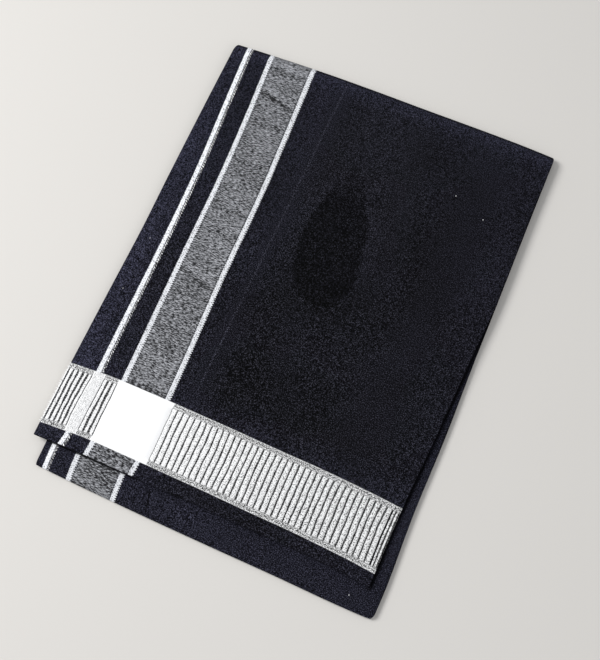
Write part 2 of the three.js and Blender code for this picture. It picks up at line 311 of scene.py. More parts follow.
def sample(table, column, at):
    """Smooth values of a table's column at places along its first column."""
    keys, values = table[:, 0], table[:, column]
    at = np.clip(at, keys[0], keys[-1])
    i = np.clip(np.searchsorted(keys, at, side="right") - 1, 0, len(keys) - 2)
    last = len(keys) - 1
    before = np.maximum(np.arange(last + 1) - 1, 0)
    after = np.minimum(np.arange(last + 1) + 1, last)
    slopes = (values[after] - values[before]) / (keys[after] - keys[before])
    step = keys[i + 1] - keys[i]
    t = (at - keys[i]) / step
    held = values[i] * (1 + 2 * t) * (1 - t) ** 2 + values[i + 1] * (3 - 2 * t) * t * t
    turned = slopes[i] * t * (1 - t) ** 2 + slopes[i + 1] * t * t * (t - 1)
    return held + turned * step


def along_cloth(x, start):
    """y of places that lie `start` from the hem, below zero towards the near fold."""
    hem = sample(ENDS, HEM, x)
    far = sample(ENDS, FAR_FOLD, x)
    near = sample(ENDS, NEAR_FOLD, x)
    return np.where(start < 0, hem + (near - hem) * (-start / REACH), hem + (far - hem) * start / LEAF)


def border_place(x, y, lines):
    """Distance from the selvedge on the flat cloth, from the border's lines."""
    at = [sample(lines, k, y) for k in (1, 2, 3)]
    a1, a2, a3 = LINE_PLACES
    left = a1 - (at[0] - x)
    first = a1 + (x - at[0]) / (at[1] - at[0]) * (a2 - a1)
    second = a2 + (x - at[1]) / (at[2] - at[1]) * (a3 - a2)
    right = a3 + (x - at[2])
    return np.where(x < at[0], left, np.where(x < at[1], first, np.where(x < at[2], second, right)))


def crease_lift(x, y):
    """Height that the soft creases add."""
    lift = np.zeros_like(x)
    for x0, y0, x1, y1, width, height in CREASES:
        dx, dy = x1 - x0, y1 - y0
        along = np.clip(((x - x0) * dx + (y - y0) * dy) / (dx * dx + dy * dy), 0, 1)
        away = np.hypot(x - x0 - along * dx, y - y0 - along * dy) / width
        lift += height * np.exp(-away * away)
    return lift


def ripple(x, y, seed, length, size):
    """A smooth uneven height over a surface."""
    pairs = zip(np.ravel(x), np.ravel(y))
    flat = [noise.noise(Vector((across / length, along / length, seed * 3.7))) for across, along in pairs]
    return np.array(flat).reshape(np.shape(x)) * size


def band_sway(x, start):
    """How far the yarns of the cross band wander sideways, most in its ribs at the left."""
    ease = 6
    inside = min(max((start - BAND_NEAR) / ease, 0), 1) * min(max((BAND_FAR - start) / ease, 0), 1)
    if inside == 0:
        return np.zeros_like(x)
    slow = np.array([noise.noise(Vector((p / 26, start / 34, 2.2))) for p in x])
    quick = np.array([noise.noise(Vector((p / 4.3, start / 9, 8.1))) for p in x])
    slow_size = np.where(x < -60, 1.7, 0.9)
    return inside * (slow * slow_size + quick * 0.55)


def rib_columns(left, right):
    """Columns across the top ply: their x at the band, and the share of a rib's height they have."""
    places, heights = [], []
    for part in BAND_PARTS:
        if part["ribs"] == 0:
            inside = np.linspace(part["from"] + 0.4, part["to"] - 0.4, BLOCK_COLUMNS)
            places += [part["from"] - 0.01, *inside]
            heights += [0.0] + [BLOCK_HEIGHT] * BLOCK_COLUMNS
            continue
        pitch = (part["to"] - part["from"]) / part["ribs"]
        for rib in range(part["ribs"]):
            places += [part["from"] + (rib + share) * pitch for share in RIB_SHARES]
            heights += RIB_HEIGHTS
    places, heights = np.array(places), np.array(heights)
    keep = (places > left + 0.6) & (places < right - 0.2)
    return places[keep], heights[keep]


def serpentine(places, heights, left, right, offsets):
    """The run of a strip's four plies: x and depth of its outer and inner surfaces, and rib heights.

    The run starts at the left edge of the first ply and turns at the right, the left and the right.
    """
    first_fold, last_fold, selvedge, second_left, last_selvedge = offsets
    outer, inner, raised = [], [], []

    def straight(xs, depth, inward, rise):
        """A flat ply, with its inner surface on the side that `inward` gives."""
        for x, h in zip(xs, rise):
            outer.append((x, depth))
            inner.append((x, depth + inward * PLY))
            raised.append(h)

    def turn(x, top, bottom, side, thick):
        """A round turn from one ply to the next, out to the side that `side` gives."""
        radius = (bottom - top) / 2
        for step in range(1, TURN_STEPS):
            angle = math.pi * step / TURN_STEPS
            reach, depth = math.sin(angle), top + radius * (1 - math.cos(angle))
            outer.append((x + side * radius * reach, depth))
            deep = radius - thick
            inner.append((x + side * deep * reach, (top + bottom) / 2 - deep * math.cos(angle)))
            raised.append(0.0)

    shares = np.linspace(0, 1, PLY_COLUMNS)
    flat = np.zeros(PLY_COLUMNS)
    top_radius = SECOND_PLY / 2
    straight([left + selvedge, *places], 0.0, 1, [0.0, *heights])
    turn(right + first_fold - top_radius, 0.0, SECOND_PLY, 1, PLY)
    second_right = right + first_fold - top_radius
    second_end = left + second_left + PLY
    straight(second_right + (second_end - second_right) * shares, SECOND_PLY, -1, flat)
    turn(second_end, SECOND_PLY, THIRD_PLY, -1, -PLY)
    low_radius = (STRIP - THIRD_PLY) / 2
    third_right = right + last_fold - low_radius
    straight(second_end + (third_right - second_end) * shares, THIRD_PLY, 1, flat)
    turn(third_right, THIRD_PLY, STRIP, 1, PLY)
    last_left = left + last_selvedge
    straight(third_right + (last_left - third_right) * shares, STRIP, -1, flat)
    return np.array(outer), np.array(inner), np.array(raised)


def place_on_fold(nose, turn, x, depth, facing):
    """y and z of places on a fold, at a turn from the strip's flat and a depth below its outer face."""
    if nose == "near":
        reach = NEAR_NOSE * (NEAR_MIDDLE - depth) / NEAR_MIDDLE
        y = along_cloth(x, NEAR_FLAT - reach * math.sin(turn))
        return y, NEAR_MIDDLE + facing * (NEAR_MIDDLE - depth) * math.cos(turn)
    fold_start = along_cloth(x, np.full_like(x, LEAF)) - FAR_NOSE
    if nose == "far outer":
        y = fold_start + (FAR_NOSE - depth) * math.sin(turn)
        return y, FAR_MIDDLE + facing * (FAR_MIDDLE - depth) * math.cos(turn)
    reach = SEAM / 2 + depth
    widest = STRIP + SEAM / 2
    y = fold_start + INNER_FOLD_REACH * reach / widest * math.sin(turn)
    return y, FAR_MIDDLE - facing * reach * math.cos(turn)


def strip_points(name, rows, run, heights, left, right, sizes):
    """Points of one surface of a strip: rows of runs, from x and depth at the band to the part's frame.

    `heights` are the ribs' on the outer surface, and below zero on the inner one.
    """
    strip = STRIPS[name]
    left_column, right_column = SIDE_COLUMNS[strip["side"]]
    facing, height = strip["facing"], strip["height"]
    share = np.clip((run[:, 0] - left) / (right - left), 0, 1)
    depth = run[:, 1]
    points = []
    for line in rows:
        start, turn = line["start"], line["turn"]
        y_guess = HEM_Y + start
        shift_left = sample(SIDES, left_column, y_guess) - left
        shift_right = sample(SIDES, right_column, y_guess) - right
        x = run[:, 0] + shift_left * (1 - share) ** EDGE_POWER + shift_right * share**EDGE_POWER
        left_draw, right_draw = CORNERS.get(line["nose"], (0, 0))
        drawn = sizes.corner * (1 - math.cos(turn))
        x = x + drawn * (left_draw * (1 - share) ** CORNER_POWER - right_draw * share**CORNER_POWER)
        x = x + band_sway(run[:, 0], start) * np.minimum(1, SWAY_EDGE * np.minimum(share, 1 - share))
        if line["nose"]:
            y, z = place_on_fold(line["nose"], turn, x, depth, facing)
        else:
            y = along_cloth(x, np.full_like(x, float(start)))
            if name == "top":
                bow = sample(BAND_BOW, 1, x) * min(start / BOW_START, 1)
                y = y + bow * min(max((BOW_END - start) / BOW_FADE, 0), 1)
            z = height - facing * depth
        ply = 1 - depth / STRIP
        fade = math.cos(turn)
        if name == "top":
            edge = np.minimum(1, np.minimum(CREASE_EDGE * share, CREASE_EDGE * (1 - share)))
            lift = (crease_lift(x, y) + ripple(x, y, *TOP_RIPPLE)) * edge * fade * sizes.crease
            outermost = (heights >= 0) * (depth < 0.01)
            z = z + lift * ply + heights * line["ribs"] + line["rise"] * outermost * edge
        if name == "lower":
            shown = np.clip(-start / LOW_RIPPLE_START, 0, 1)
            z = z + ripple(x, y, *LOW_RIPPLE) * ply * shown * fade
        if strip["side"] == "top":
            overhang = np.maximum(sample(SIDES, SIDE_COLUMNS["low"][0], y) - DROOP_START - x, 0)
            z = z - DROOP * overhang**2 * fade
        points.append(np.stack([x, y, z], axis=1))
    return np.array(points)


def row(start, turn=0.0, nose="", ribs=0.0, rise=0.0):
    """A row of points across a strip: its distance from the hem, its fold, and the band's relief there."""
    return {"start": start, "turn": turn, "nose": nose, "ribs": ribs, "rise": rise}


def flat_rows(first, last, count):
    """Even rows along a flat stretch."""
    return [row(start) for start in np.linspace(first, last, count)]


def band_rows(piping, rib):
    """Rows across the cross band: piping, ribs and piping again, alike from both of its ends."""
    near, far = [], []
    for place, piping_share, rib_share in BAND_END_ROWS:
        relief = {"rise": piping_share * piping, "ribs": rib_share * rib}
        near.append(row(BAND_NEAR + place, **relief))
        far.append(row(BAND_FAR - place, **relief))
    first, last = BAND_NEAR + PIPING + WHOLE_RIBS, BAND_FAR - PIPING - WHOLE_RIBS
    middle = [row(start, ribs=rib) for start in np.linspace(first, last, WHOLE_RIB_ROWS)]
    return near + middle + far[::-1]


def nose_rows(start, nose, closing):
    """Rows down a fold: from its flat to its middle, or the other way round."""
    turns = np.linspace(0, math.pi / 2, NOSE_ROWS + 1)[1:]
    rows = [row(start, turn, nose) for turn in turns]
    return rows if closing else rows[::-1]


def piece(name, outer, inner, uv, band_uv, material):
    """A sheet of cloth: a grid primitive moved onto its outer points, given its thickness by Solidify."""
    deselect()
    rows, columns = outer.shape[:2]
    bpy.ops.mesh.primitive_grid_add(x_subdivisions=columns - 1, y_subdivisions=rows - 1, size=1)
    made = bpy.context.object
    made.name = name
    mesh = made.data
    mesh.name = name
    count = rows * columns
    if len(mesh.vertices) != count:
        raise RuntimeError(f"{name}: the grid has {len(mesh.vertices)} points and not {count}")
    start = np.empty(count * 3)
    mesh.vertices.foreach_get("co", start)
    start = start.reshape(-1, 3)
    column = np.rint((start[:, 0] + 0.5) * (columns - 1)).astype(int)
    line = np.rint((start[:, 1] + 0.5) * (rows - 1)).astype(int)
    mesh.vertices.foreach_set("co", (outer[line, column] * MM).ravel())
    corners = np.empty(len(mesh.loops), dtype=np.int32)
    mesh.loops.foreach_get("vertex_index", corners)
    layer = mesh.uv_layers.active
    layer.name = "Cloth"
    layer.data.foreach_set("uv", (uv[line, column] * MM)[corners].ravel())
    second = mesh.uv_layers.new(name="Band")
    second.data.foreach_set("uv", (band_uv[line, column] * MM)[corners].ravel())
    wall = made.modifiers.new("Ply", "SOLIDIFY")
    wall.thickness = PLY * MM
    wall.offset = -1
    bpy.ops.object.modifier_apply(modifier=wall.name)
    if len(mesh.vertices) != 2 * count:
        raise RuntimeError(f"{name}: the wall has {len(mesh.vertices)} points and not {2 * count}")
    both = np.concatenate([outer[line, column], inner[line, column]]) * MM
    mesh.vertices.foreach_set("co", both.ravel())
    mesh.update()
    bpy.ops.object.shade_smooth_by_angle(angle=math.radians(50))
    mesh.materials.append(material)
    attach(made, "root")
    return made


def deselect():
    """Deselects every object."""
    if bpy.context.object and bpy.context.object.mode != "OBJECT":
        bpy.ops.object.mode_set(mode="OBJECT")
    bpy.ops.object.select_all(action="DESELECT")


def cloth_piece(name, strip, rows, place, sizes, material):
    """One strip of the folded cloth as a sheet, with its place on the flat cloth as its UV map.

    `place` is the distance along the cloth of the first row.
    """
    left_column, right_column = SIDE_COLUMNS[STRIPS[strip]["side"]]
    left = float(sample(SIDES, left_column, BAND_ROW))
    right = float(sample(SIDES, right_column, BAND_ROW))
    ribbed = strip == "top"
    if ribbed:
        places, heights = rib_columns(left, right)
    else:
        places = left + (right - left) * np.linspace(0, 1, PLAIN_COLUMNS + 2)[1:-1]
        heights = np.zeros(PLAIN_COLUMNS)
    outer_run, inner_run, raised = serpentine(places, heights, left, right, PLY_OFFSETS[strip])
    outer = strip_points(strip, rows, outer_run, raised, left, right, sizes)
    inner = strip_points(strip, rows, inner_run, 0 * raised - 1, left, right, sizes)
    along = np.cumsum(np.linalg.norm(np.diff(outer[:, len(places) // 2], axis=0), axis=1))
    starts = place + np.concatenate([[0], along])
    if ribbed:
        starts[:-NOSE_ROWS] = [line["start"] for line in rows[:-NOSE_ROWS]]
    if strip == "inner":
        starts += CLOTH_LENGTH - starts[-1]
    lines = TOP_LINES if STRIPS[strip]["side"] == "top" else LOW_LINES
    first = np.arange(len(outer_run)) <= len(places)
    across = border_place(outer[:, :, 0], outer[:, :, 1], lines)
    end = across[:, first][:, -1]
    steps = np.linalg.norm(np.diff(outer_run, axis=0), axis=1)
    further = np.cumsum(np.concatenate([[0], steps]))
    further = further - further[len(places)]
    u = np.where(first[None, :], across, end[:, None] + further[None, :])
    v = np.repeat(starts[:, None], u.shape[1], axis=1)
    at_band = np.repeat(outer_run[None, :, 0], len(rows), axis=0)
    cloth_uv = np.stack([u, v], axis=2)
    band_uv = np.stack([at_band, v], axis=2)
    return piece(name, outer, inner, cloth_uv, band_uv, material)


# Materials
class Number:
    """A number socket: arithmetic on it adds Math nodes."""

    def __init__(self, nodes, socket):
        self.nodes, self.socket = nodes, socket

    def _math(self, operation, *values, clamp=False):
        settings = {"operation": operation, "use_clamp": clamp}
        made = self.nodes.add("ShaderNodeMath", settings, dict(enumerate(values)))
        return Number(self.nodes, made.outputs[0])

    def __add__(self, other):
        return self._math("ADD", self, other)

    def __radd__(self, other):
        return self._math("ADD", other, self)

    def __sub__(self, other):
        return self._math("SUBTRACT", self, other)

    def __rsub__(self, other):
        return self._math("SUBTRACT", other, self)

    def __mul__(self, other):
        return self._math("MULTIPLY", self, other)

    def __rmul__(self, other):
        return self._math("MULTIPLY", other, self)

    def __abs__(self):
        return self._math("ABSOLUTE", self)

    def most(self, other):
        """The larger of this and another."""
        return self._math("MAXIMUM", self, other)

    def clamped(self):
        """Kept between 0 and 1."""
        return self._math("ADD", self, 0.0, clamp=True)

    def wrapped(self):
        """The part after the point."""
        return self._math("FRACT", self)

    def sine(self):
        return self._math("SINE", self)

    def above(self, place, soft):
        """1 above a place and 0 below it, over a soft edge."""
        return ((self - place) * (1 / soft) + 0.5).clamped()

    def between(self, low, high, soft):
        """1 between two places."""
        return self.above(low, soft) * (1 - self.above(high, soft))


class Nodes:
    """Adds nodes to one material."""

    def __init__(self, name):
        self.material = bpy.data.materials.new(name)
        self.material.use_nodes = True
        self.tree = self.material.node_tree
        self.tree.nodes.clear()

    def add(self, kind, settings=None, inputs=None):
        """Any node, from its type, its settings, and the values or links of its sockets."""
        made = self.tree.nodes.new(kind)
        for key, value in (settings or {}).items():
            setattr(made, key, value)
        for key, value in (inputs or {}).items():
            socket = value.socket if isinstance(value, Number) else value
            if isinstance(socket, bpy.types.NodeSocket):
                self.tree.links.new(socket, made.inputs[key])
            else:
                made.inputs[key].default_value = socket
        return made

    def parts(self, vector):
        """The first two parts of a vector in metres, as numbers in millimetres."""
        made = self.add("ShaderNodeSeparateXYZ", {}, {0: vector})
        return Number(self, made.outputs[0]) * (1 / MM), Number(self, made.outputs[1]) * (1 / MM)

    def blend(self, share, first, second):
        """One colour over another by a share."""
        made = self.add("ShaderNodeMix", {"data_type": "RGBA"}, {0: share, 6: first, 7: second})
        return made.outputs[2]

    def tone(self, colour, share):
        """A colour made lighter or darker by a share."""
        start = colour if isinstance(colour, bpy.types.NodeSocket) else tuple(colour)[:3]
        made = self.add("ShaderNodeVectorMath", {"operation": "SCALE"}, {0: start, "Scale": share})
        return made.outputs[0]

    def vector(self, x, y, z=0.0):
        return self.add("ShaderNodeCombineXYZ", {}, {0: x, 1: y, 2: z}).outputs[0]

    def grain(self, vector, scale, detail, rough):
        """Noise about 0 over a vector."""
        made = self.add(
            "ShaderNodeTexNoise", {"noise_dimensions": "3D"},
            {"Vector": vector, "Scale": scale, "Detail": detail, "Roughness": rough},
        )
        return Number(self, made.outputs[0]) - 0.5


def paint(r, g, b):
    """A colour with no transparency."""
    return (r, g, b, 1.0)


def wave(place, pitch):
    """A sine of a place that repeats at each pitch."""
    return (place * (2 * math.pi / pitch)).sine()


def places_on_cloth(n, spot):
    """Where a point lies, in millimetres.

    x and y are in the frame, a is from the selvedge and s from the hem on the flat cloth, and b is x at
    the cross band. `fold` is 1 on the strips below the top one.
    """
    x, y = n.parts(spot)
    a, s = n.parts(n.add("ShaderNodeUVMap", {"uv_map": "Cloth"}).outputs[0])
    b, _ = n.parts(n.add("ShaderNodeUVMap", {"uv_map": "Band"}).outputs[0])
    fold = s.above(LOWER_STRIPS_START, 1.0)
    # The other selvedge and the other end of the cloth have the same border and band
    a = CLOTH_WIDTH / 2 - abs(a - CLOTH_WIDTH / 2)
    s = CLOTH_LENGTH / 2 - abs(s - CLOTH_LENGTH / 2)
    return SimpleNamespace(x=x, y=y, a=a, s=s, b=b, fold=fold)


def yarn_grains(n, spot, at):
    """Every grain of the cloth, each about 0."""
    runs = {
        "streak": (at.x, at.s),
        "swirl": (at.x + at.s * SWIRL_LEAN, at.s - at.x * SWIRL_TURN),
        "weft_wave": (at.x, at.s),
        "speck": (at.x, at.s),
        "thread": (at.b, at.s),
    }
    grains = {name: n.grain(spot, *values) for name, values in EVEN_GRAINS.items()}
    for name, (across, along, detail, rough) in LONG_GRAINS.items():
        first, second = runs[name]
        grains[name] = n.grain(n.vector(first * across, second * along), 1.0, detail, rough)
    return SimpleNamespace(**grains)


def zari_colour(n, look, at, g):
    """Grey metallic yarn: fine streaks along the weft, painted shade in troughs across it with a painted
    highlight beside each, a painted highlight towards the far fold, and painted shade by the band, at the hem
    and on the lower strips.
    """
    shine = 1.15 + g.streak * 6.0 + g.swirl * 1.7 + g.fine * 3.2 + g.mottle * 0.8 + g.weft_wave * 1.8
    # Painted highlight towards the far fold, and painted shade along the band's far edge
    shine = shine + at.y.above(200, 30) * 0.3 - at.s.between(BAND_FAR - 4, BAND_FAR + 4, 5.0) * 0.4
    # Painted shade between the hem and the band, and on the strips below the top one
    shine = shine - (at.fold + 1 - at.s.above(BAND_NEAR, 1.0)).clamped() * 0.22
    for place, slope, depth in ZARI_TROUGHS:
        bent = at.y - place + (at.x - ZARI_X) * slope + g.mottle * 4.0
        # Painted shade in each trough, and a painted highlight just beyond it
        shine = shine - bent.between(-1.8, 1.8, 2.4) * depth
        shine = shine + bent.between(3.5, 9, 4.0) * (depth * 0.6)
    return n.tone(look.zari, shine.most(0.12))


def border_colour(n, look, at, g, ground):
    """The ground with the border's zari and three white lines on it, and the masks of lines and zari."""
    one, two, three = LINE_PLACES
    half = LINE_WIDTH / 2
    a, s = at.a, at.s
    # The white yarn has a twist that runs along the lines
    twist = wave(s + a * 0.8 + g.wobble, TWIST_PITCH)
    cord_tone = 0.95 + twist * 0.06 - yarn_dots(g) * 3.2 + g.speck * 0.4
    cord_tone = cord_tone - a.above((one + two) / 2, 4.0) * 0.14
    cord = n.tone(look.cord, cord_tone.clamped())

    sway = g.wobble * 0.8 + twist * 0.15
    notch = wave(s + g.wobble * 1.4, NOTCH_PITCH).above(0.1, 0.6)
    lines = 0.0
    for middle in LINE_PLACES:
        toothed = a + sway + (a - middle).above(0.8, 0.8) * notch
        lines = toothed.between(middle - half, middle + half + 0.35, 0.5) + lines
    in_zari = a.between(two + half, three - half, 0.4)
    # A dark seam in the first line, and a dotted thread beside it
    seam = (a + g.wobble * 0.5).between(one + half - 0.7, one + half + 0.3, 0.5)
    beat = wave(s + a * 1.1 + g.wobble * 3.0, HATCH_PITCH)
    hatch = (a + g.wobble * 0.7).between(one + half, one + half + 1.6, 0.6) * beat.above(0.1, 0.8)
    hatch_colour = n.tone(look.white, (0.50 + g.fine * 3.0).most(0.03))
    # Dark ticks between the zari and the lines at its sides
    left_ticks = a.between(two + half - 0.2, two + half + 1.0, 0.4)
    right_ticks = a.between(three - half - 1.1, three - half + 0.2, 0.4)
    ticks = (left_ticks + right_ticks) * (0.15 + notch * 0.85)

    colour = n.blend(in_zari, ground, zari_colour(n, look, at, g))
    colour = n.blend(lines.clamped(), colour, cord)
    colour = n.blend((ticks * 0.9).clamped(), colour, ground)
    colour = n.blend((seam * (0.75 + g.fine * 1.6)).clamped(), colour, ground)
    return n.blend(hatch, colour, hatch_colour), lines, in_zari


def yarn_dots(g):
    """Small gaps between the twists of white yarn."""
    return (g.fine - 0.04).most(0)


def groove_marks(look, at, g):
    """Masks of the cross band: its grooves, its plain blocks, and the shade on its rows of ribs."""
    b = at.b
    grooves, blocks, shade = 0.0, 0.0, 0.0
    for part in BAND_PARTS:
        low, high = part["from"], part["to"]
        if part["ribs"] == 0:
            blocks = b.between(low, high, 0.5) + blocks
            continue
        pitch = (high - low) / part["ribs"]
        turn = ((b - low) * (1 / pitch)).wrapped()
        away = (0.5 - abs(turn - 0.5)) * pitch
        width = look.groove / MM * (LEFT_GROOVE if high < ZARI_X else RIGHT_GROOVE)
        groove = 1 - (away + g.wobble * 0.8).above(width / 2, 0.3)
        grooves = groove * b.between(low - 0.8, high + 0.8, 0.1) + grooves
        if part["ribs"] > SHADED_RIBS:
            flank = turn.above(0.74, 0.3) * 0.26 + (1 - turn.above(0.16, 0.2)) * 0.08
            shade = flank * b.between(low, high, 0.1)
    return grooves, blocks, shade


def band_colour(n, look, at, g, ground):
    """The cross band: white ribs with dark grooves, plain blocks, and grey piping along both edges."""
    s, b = at.s, at.b
    uneven = s + g.wobble * 1.6
    rib_near, rib_far = BAND_NEAR + PIPING, BAND_FAR - PIPING
    inner = uneven.between(rib_near, rib_far, 0.7)
    grooves, blocks, shade = groove_marks(look, at, g)
    ribbed = 1 - blocks.clamped()
    piping = s.between(BAND_NEAR, BAND_FAR, 0.4) * (1 - inner) * ribbed
    dotted = wave(s + g.speck * 3, DOT_PITCH) * 0.12
    groove_mask = (grooves * (0.92 + dotted) * inner * ribbed).clamped()

    # The ribs get greyer and more flecked towards the right
    right_flecks = ((b + 60) * 0.005).clamped()
    rib_tone = 0.97 - yarn_dots(g) * (3.2 + right_flecks * 4.0) + g.speck * 0.5
    rib_tone = rib_tone - shade * (0.4 + right_flecks * 0.6)
    rib_tone = (rib_tone - right_flecks * 0.08).clamped()
    middle = abs(abs(s - (BAND_NEAR + BAND_FAR) / 2) - (BAND_FAR - BAND_NEAR - PIPING) / 2)
    pipe_tone = 0.42 + g.fine * 2.6 + g.speck * 0.3 - (1 - middle.above(0.45, 0.6)) * 0.16
    pipe_tone = (pipe_tone + middle.above(1.5, 0.5) * 0.12).clamped()
    near_rim = uneven.between(rib_near - 0.4, rib_near + 0.3, 0.4)
    far_rim = uneven.between(rib_far - 0.3, rib_far + 0.4, 0.4)
    rim = (near_rim + far_rim) * ribbed
    # The first line crosses its block as a greyer stripe
    crossing = b.between(*LINE_CROSSING, 0.6)
    block_tone = (0.98 - crossing * 0.2 + (g.fine * 1.2 + g.thread * 0.8) * crossing).clamped()

    cross = n.blend(groove_mask, n.tone(look.white, rib_tone), n.tone(ground, 0.2))
    cross = n.blend(piping, cross, n.tone(look.white, pipe_tone))
    cross = n.blend((rim * 0.45).clamped(), cross, ground)
    return n.blend(blocks.clamped(), cross, n.tone(look.white, block_tone))


def painted_sheen_share(at, g):
    """How much a painted sheen makes the ground paler and bluer, most in its left margin and at the folds."""
    x, y, a, s, fold = at.x, at.y, at.a, at.s, at.fold
    one, two, three = LINE_PLACES
    margin = (1 - a.above(one, 2.0)) * (1.1 - (1 - s.above(BAND_NEAR, 2.0)) * 0.5)
    margin = margin * (1 - a.above(13, 8) * 0.3)
    between = a.between(one, two, 2.0) * (0.4 - y.between(-60, 20, 50) * 0.14)
    beside = a.between(three, three + 34, 26.0) * 0.24
    field = a.above(three, 2.0) * (0.04 + y.above(60, 160) * 0.1)
    level = y - x * 0.02
    far = level.above(212, 20) * 0.65 + level.above(192, 30) * 0.14
    near = (1 - s.above(BAND_NEAR, 2.0)) * 0.16
    by_band = (1 - s.above(BAND_FAR + 14, 26)) * s.above(BAND_FAR - 2, 1.0) * 0.3
    right = x.above(118, 60) * 0.18
    painted_sheen = margin + between + beside + field + far + near + by_band + right
    # The strips below the top one get an even painted sheen
    return (painted_sheen * (1 - fold) + fold * 0.6 + g.mottle * 0.5).most(0.0)


def left_after_stain_and_shade(look, at, stain):
    """What the stain of the dark patch and the painted shade in the gap by the top leaf, in the near fold's
    crease and on the rims leave of the ground's colour.
    """
    x, y, s, fold = at.x, at.y, at.s, at.fold
    # Painted shadow of the top leaf's right edge, on the strip below
    gap_shadow = x - GAP_SHADOW["x"] - (y - GAP_SHADOW["y"]).most(0) * GAP_SHADOW["slope"]
    gap_shadow = gap_shadow.between(-2, 3.0, 1.8) * fold * y.above(GAP_SHADOW["near_y"], 5)
    # Painted shade in the small crease on the near fold
    from_crease_shade = y - NEAR_CREASE_SHADE["y"]
    crease_shade = abs(x - NEAR_CREASE_SHADE["x"] + from_crease_shade * NEAR_CREASE_SHADE["slope"]) + (abs(from_crease_shade) - NEAR_CREASE_SHADE["half_length"]).most(0)
    crease_shade = (1 - crease_shade.above(0.7, 0.5)) * fold
    # Painted shade on the rims where the cloth turns down, at the right edge and over the far fold
    right_rim_shade = (x - RIM_SHADE["x"] + (y - RIM_SHADE["y"]) * RIM_SHADE["slope"]).above(-1.0, 0.7)
    rim = (right_rim_shade + s.between(RIM_SHADE["far_start"], RIM_SHADE["far_end"], 2.0)).clamped()
    return (1 - stain * look.stain) * (1 - gap_shadow * 0.8) * (1 - crease_shade * 0.8) * (1 - rim * 0.65)


def neutral_share(at, g):
    """How light the ground's neutral part is: more on a faint line, a painted highlight along a crease's
    ridge, and in the middle of the field.
    """
    x, y = at.x, at.y
    # Painted highlight along the ridge of the crease down the field
    bent = x - FAINT_LINE["x"] - (y - FAINT_LINE["y"]) * FAINT_LINE["slope"]
    crease = (1 - abs(bent).above(0.8, 0.8)) * y.above(FAINT_LINE["near_y"], 20)
    pale_x = (x - PALE_FIELD["x"]) * (1 / PALE_FIELD["half_width"])
    pale_y = (y - PALE_FIELD["y"]) * (1 / PALE_FIELD["half_length"])
    pale_field = 1 - (pale_x * pale_x + pale_y * pale_y).above(0.8, 0.9)
    return 1.0 + pale_field * 0.45 + crease * (1.6 + g.mottle * 3.0)


def ground_colour(n, look, at, g):
    """The black ground: neutral in the middle, and paler and bluer towards the edges and the folds with a
    painted sheen.
    """
    stain = stain_mask(at.x, at.y, g.mottle)
    # Share of the ground's colour that the stain and the painted shade leave
    light = left_after_stain_and_shade(look, at, stain)
    # Lit flecks of yarn, sharpest in the patch and towards the hem
    grit = (1 - at.y.above(60, 200) * 0.5) * (1 + stain * 0.9)
    sparks = (g.fine - 0.09).most(0) * 26.0 - 0.3
    flecks = (1.0 + (g.fine * 8.0 + sparks) * grit + g.coarse * 1.2 + g.mottle * 0.4).most(0.08)
    soft_flecks = (1.0 + g.fine * 6.5 + g.coarse * 1.6).most(0.08)
    black = n.tone(look.ground, neutral_share(at, g) * flecks * light)
    # Painted sheen: a pale bluish colour added over the black ground
    pale = n.tone(look.painted_sheen, painted_sheen_share(at, g) * soft_flecks * light)
    return n.add("ShaderNodeVectorMath", {"operation": "ADD"}, {0: black, 1: pale}).outputs[0]


def stain_mask(x, y, mottle):
    """A soft dark patch, drop shaped, and two fainter ones by the cross band."""
    from_middle = y - PATCH["y"]
    high = (from_middle * (1 / PATCH["up"])).most(0)
    low = ((PATCH["y"] - y) * (1 / PATCH["down"])).most(0)
    across = (x - PATCH["x"] + (y - PATCH["lean_y"]) * PATCH["lean"]) * (1 / PATCH["half_width"])
    across = across * (1 + high * high * 0.9)
    patch = 1 - (high * high + low * low * low + across * across + mottle * 0.6).above(0.85, 0.16)
    patch = patch * (1 - y.above(PATCH["tip_y"], 22) * 0.55)
    for faint in FAINT_PATCHES:
        wide = (x - faint["x"]) * (1 / faint["half_width"])
        deep = (y - faint["y"]) * (1 / faint["half_length"])
        spread = (wide * wide + deep * deep + mottle * 2.0).above(faint["edge"], faint["soft"])
        patch = patch + (1 - spread) * faint["share"]
    return patch.clamped()


